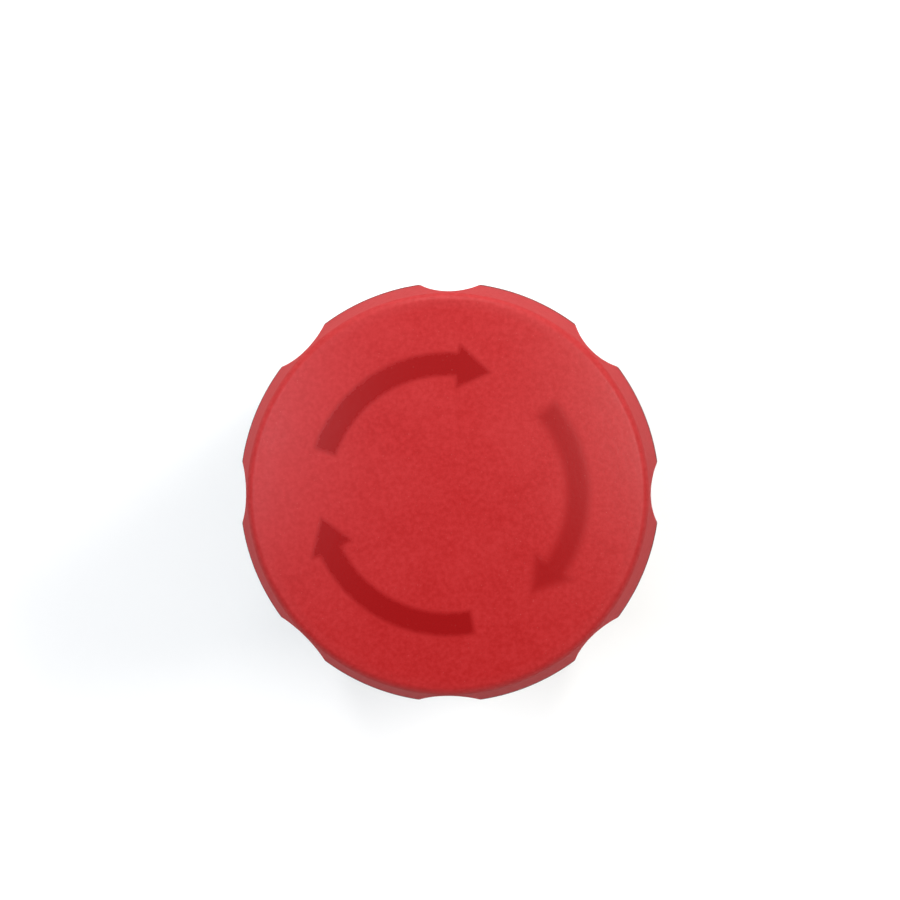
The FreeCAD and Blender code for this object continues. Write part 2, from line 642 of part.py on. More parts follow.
def open_block():
    """Normally open set: the plunger carries the bridge down on to tips below it."""
    x = BLOCK_X
    fixed_top = STRIP_Z[1] + TIP_THICKNESS
    tip_z = fixed_top + NO_GAP
    bridge_z = tip_z + TIP_THICKNESS
    window_top = BLOCK_SPLIT_Z - 1.0
    nodes = {
        "no_case": block_case(x),
        "no_lid": block_lid(x),
        "no_plunger": block_plunger(x, -29.6, (bridge_z, window_top)),
        "no_bridge": bridge(x, bridge_z),
        "no_bridge_tips": tips(x, tip_z, bridge_z),
        "no_fixed_tips": tips(x, STRIP_Z[1], fixed_top),
        "no_contact_spring": coil(1.2, 0.3, bridge_z + 0.8, window_top, 3, x),
        "no_return_spring": coil(1.2, 0.4, BLOCK_FLOOR_Z, -29.6, 8, x),
    }
    return x, False, nodes


def contact_nodes():
    nodes = {}
    for prefix, (x, raised, own) in (("nc", closed_block()), ("no", open_block())):
        nodes.update(own)
        for letter, side in (("a", -1), ("b", 1)):
            nodes[f"{prefix}_terminal_{letter}"] = terminal(x, side, raised)
            nodes[f"{prefix}_clamp_{letter}"] = saddle(x, side)
            nodes[f"{prefix}_screw_{letter}"] = terminal_screw(x, side)
    return nodes


def all_nodes():
    blank = head_blank()
    arrows = arrow_solids(blank)
    nodes = {
        "head_cap": head_cap(blank, arrows),
        "arrow_inlays": arrows,
        "head_insert": head_insert(),
        "cam_spindle": cam_spindle(),
        "head_clip": head_clip(),
        "spring_seat": spring_seat(),
        "torsion_spring": torsion_spring(),
        "plunger": plunger(),
        "spindle_circlip": spindle_circlip(),
        "latch_bolt_a": latch_bolt(0),
        "latch_bolt_b": latch_bolt(180),
        "latch_springs": latch_springs(),
        "return_spring": return_spring(),
        "actuator_foot": actuator_foot(),
        "foot_screw": foot_screw(),
        "bezel_housing": bezel_housing(),
        "stop_plate": stop_plate(),
        "lip_seal": lip_seal(),
        "seal_retainer": seal_retainer(),
        "panel_gasket": panel_gasket(),
        "key_washer": key_washer(),
        "lock_nut": lock_nut(),
        "carrier_cap": carrier_cap(),
        "carrier_base": carrier_base(),
        "carrier_screws": carrier_screws(),
        "lock_ring": lock_ring(),
    }
    nodes.update(contact_nodes())
    return nodes


def main():
    os.makedirs("parts", exist_ok=True)
    for name, shape in all_nodes().items():
        solids = shape if isinstance(shape, list) else [shape]
        whole = Part.makeCompound([s for part in solids for s in part.Solids])
        print(f"{name:20s} solids {len(whole.Solids)} volume {whole.Volume:9.2f} valid {whole.isValid()}")
        whole.exportStep(f"parts/{name}.step")


main()
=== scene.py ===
import json
import math

import bmesh
import bpy
import numpy as np
from mathutils import Matrix, Vector


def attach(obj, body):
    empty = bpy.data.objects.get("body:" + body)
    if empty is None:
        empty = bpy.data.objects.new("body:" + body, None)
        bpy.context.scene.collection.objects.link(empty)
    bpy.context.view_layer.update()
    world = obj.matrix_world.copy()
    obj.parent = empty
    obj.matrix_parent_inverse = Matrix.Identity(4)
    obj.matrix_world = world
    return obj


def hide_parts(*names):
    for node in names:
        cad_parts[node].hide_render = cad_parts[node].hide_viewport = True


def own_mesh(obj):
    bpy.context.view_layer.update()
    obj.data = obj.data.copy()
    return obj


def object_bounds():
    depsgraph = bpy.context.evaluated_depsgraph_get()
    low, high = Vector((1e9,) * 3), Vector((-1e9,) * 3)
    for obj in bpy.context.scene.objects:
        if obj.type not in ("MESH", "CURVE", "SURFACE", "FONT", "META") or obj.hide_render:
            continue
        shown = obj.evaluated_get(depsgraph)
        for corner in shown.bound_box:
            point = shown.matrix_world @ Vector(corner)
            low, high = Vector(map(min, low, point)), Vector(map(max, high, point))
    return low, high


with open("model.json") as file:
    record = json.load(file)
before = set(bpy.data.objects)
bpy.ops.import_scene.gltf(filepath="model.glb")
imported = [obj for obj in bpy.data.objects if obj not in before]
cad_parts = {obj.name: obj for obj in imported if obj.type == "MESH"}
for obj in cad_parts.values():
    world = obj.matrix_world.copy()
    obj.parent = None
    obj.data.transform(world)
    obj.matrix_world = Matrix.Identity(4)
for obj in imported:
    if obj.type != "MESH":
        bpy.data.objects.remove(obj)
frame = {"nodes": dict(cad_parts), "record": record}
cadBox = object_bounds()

mm = 0.001
cadNodes = frame["nodes"]
print("frame loaded:", len(cadNodes), "nodes")


def toLinear(hexColour):
    channels = [int(hexColour[i:i + 2], 16) / 255 for i in (1, 3, 5)]
    linear = [c / 12.92 if c <= 0.04045 else ((c + 0.055) / 1.055) ** 2.4 for c in channels]
    return (*linear, 1.0)


def add(tree, kind, *values, sockets=None, **settings):
    # values fill the open inputs in order, and sockets fills inputs by name
    node = tree.nodes.new(kind)
    for key, value in settings.items():
        setattr(node, key, value)
    openInputs = [s for s in node.inputs if s.enabled]
    pairs = list(zip(openInputs, values))
    pairs += [(node.inputs[key], value) for key, value in (sockets or {}).items()]
    for socket, value in pairs:
        if isinstance(value, bpy.types.Node):
            value = next(s for s in value.outputs if s.enabled)
        if isinstance(value, bpy.types.NodeSocket):
            tree.links.new(value, socket)
        elif value is not None:
            socket.default_value = value
    return node


def calc(tree, operation, *values):
    return add(tree, "ShaderNodeMath", *values, operation=operation)


def mapped(tree, value, low, high, toLow, toHigh, **settings):
    return add(tree, "ShaderNodeMapRange", value, low, high, toLow, toHigh, **settings)


def mixNumber(tree, share, first, second):
    return add(tree, "ShaderNodeMix", share, first, second, data_type="FLOAT")


def mixColour(tree, share, first, second):
    # each colour is a node or a hex colour
    first, second = (toLinear(colour) if isinstance(colour, str) else colour for colour in (first, second))
    return add(tree, "ShaderNodeMix", share, first, second, data_type="RGBA")


def plug(tree, node, shader, label):
    tree.links.new(next(s for s in node.outputs if s.enabled), shader.inputs[label])


# ---- materials

def startMaterial(name, **shaderValues):
    # gives the material, its tree, its shader and object coordinates in metres
    material = bpy.data.materials.new(name)
    material.use_nodes = True
    tree = material.node_tree
    shader = tree.nodes["Principled BSDF"]
    for key, value in shaderValues.items():
        shader.inputs[key.replace("_", " ")].default_value = value
    coords = add(tree, "ShaderNodeTexCoord").outputs["Object"]
    return material, tree, shader, coords


def perMm(size):
    return 1 / (size * mm)        # a texture scale that gives features of that size


def noise(tree, coords, sizeMm, detail, roughness, distortion=0.0):
    return add(tree, "ShaderNodeTexNoise", coords, perMm(sizeMm), detail, roughness,
               sockets={"Distortion": distortion})


def bumpOf(tree, shader, *layers):
    # layers are (height source, strength, depth in mm), coarse first
    normal = None
    for source, strength, depth in layers:
        normal = add(tree, "ShaderNodeBump", strength, depth * mm,
                     sockets={"Height": source, "Normal": normal})
    tree.links.new(normal.outputs["Normal"], shader.inputs["Normal"])


def frostedRed(name, values):
    # Polycarbonate, self-coloured red, spark-eroded mould: a matt, speckled, slightly milky skin
    material, tree, shader, coords = startMaterial(
        name, IOR=values["ior"], Specular_IOR_Level=values["specular"])
    cloud = noise(tree, coords, values["cloudMm"], detail=3.0, roughness=0.55)
    grain = noise(tree, coords, values["grainMm"], detail=2.0, roughness=0.6)
    speck = add(tree, "ShaderNodeTexVoronoi", coords, perMm(values["speckMm"]), feature="F1")
    few = add(tree, "ShaderNodeSeparateColor", speck.outputs["Color"]).outputs[0]
    few = mapped(tree, few, 0.5, 1.0, 0.0, values["speckShare"])
    cloudShare = mapped(tree, cloud, 0.3, 0.7, 0.0, 1.0)
    plain = mixColour(tree, cloudShare, values["deep"], values["light"])
    grainShare = mapped(tree, grain, 0.35, 0.68, 0.0, values["grainShare"])
    plain = mixColour(tree, grainShare, plain, values["milk"])
    # the marks darken the skin over them, and the frosting blurs their edges
    depth = add(tree, "ShaderNodeAttribute", attribute_name="arrowDepth").outputs["Fac"]
    blur = add(tree, "ShaderNodeAttribute", attribute_name="arrowBlur").outputs["Fac"]
    ragged = calc(tree, "SUBTRACT", grain, 0.5)
    ragged = calc(tree, "MULTIPLY", ragged, values["ragged"])
    depth = calc(tree, "ADD", depth, ragged)
    low = calc(tree, "MULTIPLY", blur, -1.0)
    mask = mapped(tree, depth, low, blur, 0.0, 1.0, interpolation_type="SMOOTHSTEP")
    strength = add(tree, "ShaderNodeAttribute", attribute_name="arrowStrength").outputs["Fac"]
    mask = calc(tree, "MULTIPLY", mask, strength)
    colour = mixColour(tree, mask, plain, values["mark"])
    dot = mapped(tree, speck.outputs["Distance"], *values["speckEdge"], 1.0, 0.0)
    dot = calc(tree, "MULTIPLY", dot, few)
    colour = mixColour(tree, dot, colour, values["speck"])
    # painted shade: a dark line along the rim's lower edge, patchy with the cloud, standing for the shadowed
    # edge of the rim
    height = add(tree, "ShaderNodeSeparateXYZ", coords).outputs["Z"]
    low, high = (z * mm for z in values["paintedRimShadeZ"])
    paintedRimShade = mapped(tree, height, low, high, values["paintedRimShadeShare"], 0.0)
    paintedRimShade = calc(tree, "MULTIPLY", paintedRimShade, mapped(tree, cloud, 0.3, 0.6, 0.75, 1.0))
    colour = mixColour(tree, paintedRimShade, colour, values["paintedRimShade"])
    plug(tree, colour, shader, "Base Color")
    # the wall below the dome's edge keeps the mould's rougher side
    low, high = (z * mm for z in values["sideZ"])
    side = mapped(tree, height, low, high, 1.0, 0.0)
    rough = mapped(tree, cloud, 0.3, 0.7, *values["roughness"])
    rough = mixNumber(tree, mask, rough, values["markRoughness"])
    rough = mixNumber(tree, side, rough, values["sideRoughness"])
    plug(tree, rough, shader, "Roughness")
    pits = noise(tree, coords, values["pitMm"], detail=3.0, roughness=0.65)
    bumpOf(tree, shader, (grain, values["bump"][0], 0.02), (pits, values["bump"][1], 0.01))
    return material


def mouldedPlastic(name, values):
    # Moulded nylon or PBT: a fine spark-eroded grain, faint flow marks, and lighter edges that are partly
    # scuffs and partly a painted highlight
    material, tree, shader, coords = startMaterial(name, IOR=values.get("ior", 1.53))
    flow = noise(tree, coords, values.get("flowMm", 6.0), detail=3.0, roughness=0.5, distortion=1.2)
    grain = noise(tree, coords, values["grainMm"], detail=3.0, roughness=0.6)
    scuffAndEdgeHighlight = noise(tree, coords, values.get("scuffMm", 1.6), detail=5.0, roughness=0.7)
    share = mapped(tree, flow, 0.3, 0.7, 0.0, 1.0)
    colour = mixColour(tree, share, values["deep"], values["light"])
    # the lighter edges are partly wear and partly a painted highlight standing for the edges' reflection
    edgeWearAndHighlight = add(tree, "ShaderNodeNewGeometry").outputs["Pointiness"]
    edgeWearAndHighlight = mapped(tree, edgeWearAndHighlight, 0.51, 0.6, 0.0, 1.0)
    patchy = mapped(tree, scuffAndEdgeHighlight, 0.45, 0.62, 0.15, 1.0)
    edgeWearAndHighlight = calc(tree, "MULTIPLY", edgeWearAndHighlight, patchy)
    edgeWearAndHighlight = calc(tree, "MULTIPLY", edgeWearAndHighlight, values["edgeWearAndHighlightShare"])
    colour = mixColour(tree, edgeWearAndHighlight, colour, values["scuffAndEdgeHighlight"])
    plug(tree, colour, shader, "Base Color")
    rough = mapped(tree, scuffAndEdgeHighlight, 0.35, 0.65, *values["roughness"])
    plug(tree, rough, shader, "Roughness")
    bumpOf(tree, shader, (flow, 0.15, 0.05), (grain, values["bump"], 0.02))
    return material


def workedMetal(name, values):
    # Plated, drawn or rolled metal: fine lines along the working direction, and clouds in the finish
    material, tree, shader, coords = startMaterial(name, Metallic=1.0)
    stretched = add(tree, "ShaderNodeMapping", coords, sockets={"Scale": values["stretch"]})
    lines = noise(tree, stretched, values["lineMm"], detail=4.0, roughness=0.65)
    cloud = noise(tree, coords, values["cloudMm"], detail=3.0, roughness=0.55)
    spots = noise(tree, coords, values.get("spotMm", 0.5), detail=4.0, roughness=0.7)
    share = mapped(tree, cloud, 0.32, 0.68, 0.0, 1.0)
    colour = mixColour(tree, share, values["deep"], values["light"])
    dull = mapped(tree, spots, 0.56, 0.7, 0.0, values["dullShare"])
    colour = mixColour(tree, dull, colour, values["dull"])
    plug(tree, colour, shader, "Base Color")
    rough = mapped(tree, lines, 0.3, 0.7, *values["roughness"])
    plug(tree, rough, shader, "Roughness")
    bumpOf(tree, shader, (spots, 0.1, 0.02), (lines, values["bump"], 0.01))
    return material


def mouldedRubber(name, values):
    # Nitrile rubber, pressed in a mould: dull, faintly dusty, with a fine satin grain
    material, tree, shader, coords = startMaterial(name, IOR=1.52, Sheen_Weight=0.15, Sheen_Roughness=0.5)
    dust = noise(tree, coords, values["dustMm"], detail=5.0, roughness=0.65)
    grain = noise(tree, coords, values["grainMm"], detail=2.0, roughness=0.6)
    share = mapped(tree, dust, 0.42, 0.7, 0.0, 0.6)
    colour = mixColour(tree, share, values["deep"], values["dust"])
    plug(tree, colour, shader, "Base Color")
    rough = mapped(tree, dust, 0.3, 0.7, *values["roughness"])
    plug(tree, rough, shader, "Roughness")
    bumpOf(tree, shader, (dust, 0.1, 0.03), (grain, 0.25, 0.01))
    return material


redSkin = {
    "deep": "#970f10", "light": "#9c1112", "milk": "#a72022", "mark": "#850406", "speck": "#d88a84",
    # the dark colour and band here are painted shade along the rim's lower edge
    "paintedRimShade": "#2a0c0d", "paintedRimShadeShare": 0.8, "paintedRimShadeZ": (15.0, 16.0),
    "cloudMm": 4.0, "grainMm": 0.42, "pitMm": 0.16, "speckMm": 0.4,
    "grainShare": 0.7, "speckShare": 0.14, "speckEdge": (0.06, 0.14), "ragged": 0.5,
    "roughness": (0.33, 0.39), "markRoughness": 0.26, "sideRoughness": 1.0, "sideZ": (26.9, 27.8),
    "bump": (0.3, 0.45), "ior": 1.5, "specular": 0.3,
}
skins = {
    "red_plastic": frostedRed("frostedPolycarbonateRed", redSkin),
    "dark_red_plastic": frostedRed("frostedPolycarbonateDarkRed", redSkin),
    "black_nylon": mouldedPlastic("glassFilledNylonBlack", {
        "deep": "#141415", "light": "#1b1b1d", "scuffAndEdgeHighlight": "#5a5a5c", "edgeWearAndHighlightShare": 0.35,
        "grainMm": 0.18, "roughness": (0.36, 0.5), "bump": 0.3}),
    "grey_plastic": mouldedPlastic("mouldedNylonGrey", {
        "deep": "#7d8083", "light": "#878a8d", "scuffAndEdgeHighlight": "#b5b8ba", "edgeWearAndHighlightShare": 0.4,
        "grainMm": 0.2, "roughness": (0.4, 0.55), "bump": 0.28}),
    "contact_case_plastic": mouldedPlastic("mouldedPbtGraphite", {
        "deep": "#2c2e31", "light": "#34363a", "scuffAndEdgeHighlight": "#74777b", "edgeWearAndHighlightShare": 0.4,
        "grainMm": 0.2, "roughness": (0.38, 0.52), "bump": 0.28}),
    "red_stem_plastic": mouldedPlastic("mouldedAcetalRed", {
        "deep": "#b01717", "light": "#bb1f1d", "scuffAndEdgeHighlight": "#d86a60", "edgeWearAndHighlightShare": 0.3,
        "grainMm": 0.15, "roughness": (0.3, 0.42), "bump": 0.15}),
    "green_stem_plastic": mouldedPlastic("mouldedAcetalGreen", {
        "deep": "#0f6b33", "light": "#15793c", "scuffAndEdgeHighlight": "#5fae7b", "edgeWearAndHighlightShare": 0.3,
        "grainMm": 0.15, "roughness": (0.3, 0.42), "bump": 0.15}),
    "rubber": mouldedRubber("mouldedNitrileRubber", {
        "deep": "#131313", "dust": "#2e2e2d", "dustMm": 2.2, "grainMm": 0.12, "roughness": (0.62, 0.85)}),
    "zinc_plated_steel": workedMetal("zincPlatedSteel", {
        "deep": "#aeb3b9", "light": "#c4c6c5", "dull": "#8d8a80", "dullShare": 0.35,
        "stretch": (1, 1, 0.12), "lineMm": 0.25, "cloudMm": 3.5, "roughness": (0.24, 0.4), "bump": 0.12}),
    "spring_steel": workedMetal("drawnSpringSteel", {
        "deep": "#8f9092", "light": "#a6a7a8", "dull": "#6f6c66", "dullShare": 0.3,
        "stretch": (1, 1, 0.3), "lineMm": 0.15, "cloudMm": 2.0, "roughness": (0.22, 0.36), "bump": 0.1}),
    "brass": workedMetal("rolledBrass", {
        "deep": "#b8964f", "light": "#cfae68", "dull": "#8c6c3a", "dullShare": 0.4,
        "stretch": (1, 0.1, 1), "lineMm": 0.2, "cloudMm": 2.5, "roughness": (0.22, 0.38), "bump": 0.12}),
    "silver": workedMetal("fineSilverTips", {
        "deep": "#cfcdc6", "light": "#e2e0da", "dull": "#9b958a", "dullShare": 0.35,
        "stretch": (1, 1, 1), "lineMm": 0.2, "cloudMm": 1.0, "roughness": (0.25, 0.4), "bump": 0.1}),
}
slotOf = {row["node"]: row["material_slot"] for row in frame["record"]["subparts"]}
bodyOf = {node: body for body, nodes in frame["record"]["behaviour"]["bodies"].items() for node in nodes}
for nodeName, nodeObject in cadNodes.items():
    nodeObject.data.materials.clear()
    nodeObject.data.materials.append(skins[slotOf[nodeName]])
print("materials made:", len(skins))


# ---- how pieces are made

def evaluated(made):
    # the object with its modifiers as one plain mesh, and the object removed
    graph = bpy.context.evaluated_depsgraph_get()
    mesh = bpy.data.meshes.new_from_object(made.evaluated_get(graph))
    bpy.data.objects.remove(made)
    return mesh


def newObject(name, mesh):
    made = bpy.data.objects.new(name, mesh)
    bpy.context.scene.collection.objects.link(made)
    return made


def runTree(tree, base, values):
    # runs a geometry node tree on a mesh, with its inputs set by name
    holder = newObject("holder", base)
    modifier = holder.modifiers.new("shape", "NODES")
    modifier.node_group = tree
    for item in tree.interface.items_tree:
        if item.in_out == "INPUT" and item.name in values:
            modifier[item.identifier] = values[item.name]
    return evaluated(holder)


def finished(name, mesh, node, sharpDeg=35, recalculate=True):
    # one piece at the origin, which stands for a CAD node and moves with its body
    work = bmesh.new()
    work.from_mesh(mesh)
    bmesh.ops.remove_doubles(work, verts=work.verts, dist=0.0005 * mm)
    bmesh.ops.dissolve_degenerate(work, edges=work.edges, dist=0.0002 * mm)
    if recalculate:
        bmesh.ops.recalc_face_normals(work, faces=work.faces)
    work.to_mesh(mesh)
    work.free()
    mesh.name = name
    mesh.polygons.foreach_set("use_smooth", [True] * len(mesh.polygons))
    mesh.set_sharp_from_angle(angle=math.radians(sharpDeg))
    mesh.materials.clear()
    mesh.materials.append(skins[slotOf[node]])
    mesh.polygons.foreach_set("material_index", [0] * len(mesh.polygons))
    piece = newObject(name, mesh)
    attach(piece, bodyOf[node])
    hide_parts(node)
    return piece


def roundedOutline(corners, steps=5, longest=None):
    # corners are (radius, height, rounding) in mm. Gives the outline's points with arcs at its corners
    points = []
    for i, (r, z, rounding) in enumerate(corners):
        here = np.array([r, z])
        if rounding <= 0 or i in (0, len(corners) - 1):
            points.append(here)
            continue
        before = np.array(corners[i - 1][:2]) - here
        after = np.array(corners[i + 1][:2]) - here
        lengths = np.linalg.norm(before), np.linalg.norm(after)
        before, after = before / lengths[0], after / lengths[1]
        half = math.acos(np.clip(before @ after, -1, 1)) / 2
        reach = min(rounding / math.tan(half), 0.49 * lengths[0], 0.49 * lengths[1])
        centre = here + (before + after) / np.linalg.norm(before + after) * reach / math.cos(half)
        first, last = here + before * reach - centre, here + after * reach - centre
        turn = math.atan2(first[0] * last[1] - first[1] * last[0], first @ last)
        for k in range(steps + 1):
            c, s = math.cos(turn * k / steps), math.sin(turn * k / steps)
            points.append(centre + np.array([c * first[0] - s * first[1], s * first[0] + c * first[1]]))
    if longest:
        filled = [points[0]]
        for point in points[1:]:
            parts = max(1, math.ceil(np.linalg.norm(point - filled[-1]) / longest))
            start = filled[-1]
            filled += [start + (point - start) * k / parts for k in range(1, parts + 1)]
        points = filled
    return points


def outlineMesh(points):
    mesh = bpy.data.meshes.new("outline")
    edges = [(i, i + 1) for i in range(len(points) - 1)]
    mesh.from_pydata([(r * mm, 0, z * mm) for r, z in points], edges, [])
    return mesh


def startTree(name, floats):
    # a tree with the inputs that every tree here has, and its own named numbers
    tree = bpy.data.node_groups.new(name, "GeometryNodeTree")
    tree.interface.new_socket("Outline", in_out="INPUT", socket_type="NodeSocketGeometry")
    tree.interface.new_socket("Around", in_out="INPUT", socket_type="NodeSocketInt")
    tree.interface.new_socket("Material", in_out="INPUT", socket_type="NodeSocketMaterial")
    for label in floats:
        tree.interface.new_socket(label, in_out="INPUT", socket_type="NodeSocketFloat")
    tree.interface.new_socket("Geometry", in_out="OUTPUT", socket_type="NodeSocketGeometry")
    return tree, add(tree, "NodeGroupInput")


def endTree(tree, source, geometry):
    real = add(tree, "GeometryNodeRealizeInstances", geometry)
    coated = add(tree, "GeometryNodeSetMaterial", real, sockets={"Material": source.outputs["Material"]})
    add(tree, "NodeGroupOutput", coated)
    return tree


def turnedTree(name, floats=(), angleStep=None, radiusStep=None):
    # turns an outline round Z. The steps may bend the angle of a column and the radius of a point
    tree, source = startTree(name, floats)
    count = add(tree, "GeometryNodeAttributeDomainSize", source.outputs["Outline"]).outputs["Point Count"]
    around = source.outputs["Around"]
    columns = calc(tree, "ADD", around, 1.0)
    grid = add(tree, "GeometryNodeMeshGrid", 1.0, 1.0, columns, count)
    index = add(tree, "GeometryNodeInputIndex")
    column = calc(tree, "DIVIDE", index, count)
    # the nudge keeps a whole number from falling short
    column = calc(tree, "FLOOR", calc(tree, "ADD", column, 0.0001))
    row = calc(tree, "MULTIPLY", calc(tree, "MULTIPLY", column, count), -1.0)
    row = calc(tree, "ADD", index, row)
    place = add(tree, "GeometryNodeSampleIndex", source.outputs["Outline"],
                add(tree, "GeometryNodeInputPosition"), row, data_type="FLOAT_VECTOR", domain="POINT")
    parts = add(tree, "ShaderNodeSeparateXYZ", place)
    radius, height = parts.outputs["X"], parts.outputs["Z"]
    share = calc(tree, "DIVIDE", column, around)
    if angleStep:
        share = angleStep(tree, source, share)
    angle = calc(tree, "MULTIPLY", share, 2 * math.pi)
    if radiusStep:
        radius = radiusStep(tree, source, radius, angle, height)
    x = calc(tree, "MULTIPLY", radius, calc(tree, "COSINE", angle))
    y = calc(tree, "MULTIPLY", radius, calc(tree, "SINE", angle))
    spot = add(tree, "ShaderNodeCombineXYZ", x, y, height)
    shaped = add(tree, "GeometryNodeSetPosition", grid, sockets={"Position": spot})
    welded = add(tree, "GeometryNodeMergeByDistance", shaped, sockets={"Distance": 0.0005 * mm})
    return endTree(tree, source, welded)


def turned(name, node, corners, around=180, tree=None, values=None, closed=True, steps=5, longest=None,
           sharpDeg=35):
    points = roundedOutline(corners, steps, longest)
    if closed:
        points = points + [points[0]]
    given = {"Around": around, "Material": skins[slotOf[node]], **(values or {})}
    return finished(name, runTree(tree or plainTurned, outlineMesh(points), given), node, sharpDeg)


plainTurned = turnedTree("turnedPiece")


# ---- head cap: a dome with a flared wall and eight scallops

headCap = {
    "domeR": 124.0, "topZ": 29.0, "rimR": 20.0, "rimZ": 14.4, "shoulderR": 18.8, "shoulderZ": 26.6,
    "edgeRound": 2.1, "bottomZ": 13.5, "skirtR": 18.1, "seatR": 17.4, "cavityR": 16.8, "cavityZ": 26.3,
    "scallops": 8, "scallopR": 5.5, "scallopFloorR": 19.0, "scallopEdge": 0.16, "innerR": 18.3,
    "around": 640, "crowding": 0.5,
}


def domeZ(r):
    return headCap["topZ"] - headCap["domeR"] + math.sqrt(headCap["domeR"] ** 2 - r * r)


def crowdedColumns(tree, source, share):
    # puts more columns where the scallops' edges are
    turn = calc(tree, "MULTIPLY", share, source.outputs["Scallops"])
    wave = calc(tree, "SINE", calc(tree, "MULTIPLY", turn, 4 * math.pi))
    wave = calc(tree, "MULTIPLY", wave, source.outputs["Crowding"])
    wave = calc(tree, "DIVIDE", wave, 4 * math.pi)
    turn = calc(tree, "ADD", turn, wave)
    return calc(tree, "DIVIDE", turn, source.outputs["Scallops"])


def scallopedRadius(tree, source, radius, angle, height):
    # a scallop is an upright cylinder outside the rim. The radius stops at its wall
    pitch = calc(tree, "DIVIDE", 2 * math.pi, source.outputs["Scallops"])
    half = calc(tree, "MULTIPLY", pitch, 0.5)
    low = calc(tree, "MULTIPLY", half, -1.0)
    local = calc(tree, "WRAP", angle, half, low)
    along = calc(tree, "MULTIPLY", calc(tree, "COSINE", local), source.outputs["ScallopCentre"])
    across = calc(tree, "MULTIPLY", calc(tree, "SINE", local), source.outputs["ScallopCentre"])
    across = calc(tree, "ABSOLUTE", across)
    squares = [calc(tree, "POWER", value, 2.0) for value in (source.outputs["ScallopRadius"], across)]
    left = calc(tree, "SUBTRACT", *squares)
    inside = calc(tree, "GREATER_THAN", left, 0.0)
    root = calc(tree, "SQRT", calc(tree, "MAXIMUM", left, 0.0))
    wall = calc(tree, "SUBTRACT", along, root)
    away = calc(tree, "SUBTRACT", 1.0, inside)
    wall = calc(tree, "ADD", wall, away)
    cut = calc(tree, "SMOOTH_MIN", radius, wall, source.outputs["Edge"])
    # the underside and the inside stay round
    outer = calc(tree, "GREATER_THAN", radius, source.outputs["InnerRadius"])
    return mixNumber(tree, outer, radius, cut)


def headOutline(v):
    lean = (v["rimR"] - v["shoulderR"]) / (v["shoulderZ"] - v["rimZ"])
    z = v["shoulderZ"]
    for _ in range(20):        # where the wall would meet the dome
        z = domeZ(v["rimR"] - lean * (z - v["rimZ"]))
    corner = (v["rimR"] - lean * (z - v["rimZ"]), z, v["edgeRound"])
    dome = [(r, domeZ(r), 0) for r in np.arange(0, 17.1, 0.5)]
    wall = [(v["rimR"] - lean * (h - v["rimZ"]), h, 0) for h in np.arange(26.2, 14.9, -0.4)]
    return dome + [corner] + wall + [
        (v["rimR"], v["rimZ"], 0.8), (v["rimR"] - 0.1, v["bottomZ"], 0.45), (v["skirtR"], v["bottomZ"], 0.25),
        (v["skirtR"], v["bottomZ"] + 0.6, 0), (v["seatR"], 16.1, 0), (v["seatR"], 18.5, 0),
        (v["cavityR"], 18.5, 0), (v["cavityR"], v["cavityZ"] - 1.2, 0), (v["cavityR"] - 1.2, v["cavityZ"], 0),
        (0, v["cavityZ"], 0)]


scallopTree = turnedTree(
    "scallopedHead", ("Scallops", "ScallopRadius", "ScallopCentre", "Edge", "InnerRadius", "Crowding"),
    crowdedColumns, scallopedRadius)
headPiece = turned(
    "headCap", "head_cap", headOutline(headCap), headCap["around"], scallopTree,
    {"Scallops": float(headCap["scallops"]), "ScallopRadius": headCap["scallopR"] * mm,
     "ScallopCentre": (headCap["scallopFloorR"] + headCap["scallopR"]) * mm,
     "Edge": headCap["scallopEdge"] * mm, "InnerRadius": headCap["innerR"] * mm,
     "Crowding": headCap["crowding"]},
    closed=False, steps=8, longest=0.8, sharpDeg=50)
print("head cap made:", len(headPiece.data.polygons), "faces")


# ---- arrows: three marks of darker plastic let into the face

arrow = {
    "innerR": 11.05, "outerR": 13.2, "headInnerR": 9.95, "headOuterR": 14.05, "tipR": 12.0,
    "tipDeg": 70.5, "neckDeg": 85.5, "tailDeg": 161.0, "gapDeg": 0.3, "depth": 0.8, "proud": 0.004,
    "blurMm": (0.32, 0.32, 0.62), "strength": (1.0, 1.0, 0.82), "faceZ": 26.0, "farMm": 9.0,
    "rimSteps": 40, "tailColumns": 60, "tipColumns": 14, "tipEnd": 0.97, "rows": 11,
}


def polar(r, deg):
    return np.array([r * math.cos(math.radians(deg)), r * math.sin(math.radians(deg))])


def arrowRim(v):
    # the mark's outline, tail first
    tail, neck = v["tailDeg"], v["neckDeg"]
    angles = np.linspace(tail, neck + v["gapDeg"], v["rimSteps"])
    outer = [polar(v["outerR"], a) for a in angles]
    inner = [polar(v["innerR"], a) for a in angles[::-1]]
    point = [polar(v["headOuterR"], neck), polar(v["tipR"], v["tipDeg"]), polar(v["headInnerR"], neck)]
    return np.array(outer + point + inner)


def turnedPoints(points, deg):
    c, s = math.cos(math.radians(deg)), math.sin(math.radians(deg))
    return points @ np.array([[c, s], [-s, c]])


def depthInside(points, rim):
    # distance to the rim in mm, positive inside it
    best = np.full(len(points), 1e9)
    crossings = np.zeros(len(points), int)
    for a, b in zip(rim, np.roll(rim, -1, axis=0)):
        edge = b - a
        t = np.clip(((points - a) @ edge) / (edge @ edge), 0, 1)
        best = np.minimum(best, np.linalg.norm(points - a - t[:, None] * edge, axis=1))
        spans = (a[1] > points[:, 1]) != (b[1] > points[:, 1])
        slope = edge[0] / edge[1] if edge[1] else 0.0
        crossings += spans & (points[:, 0] < a[0] + (points[:, 1] - a[1]) * slope)
    return np.where(crossings % 2 == 1, best, -best)


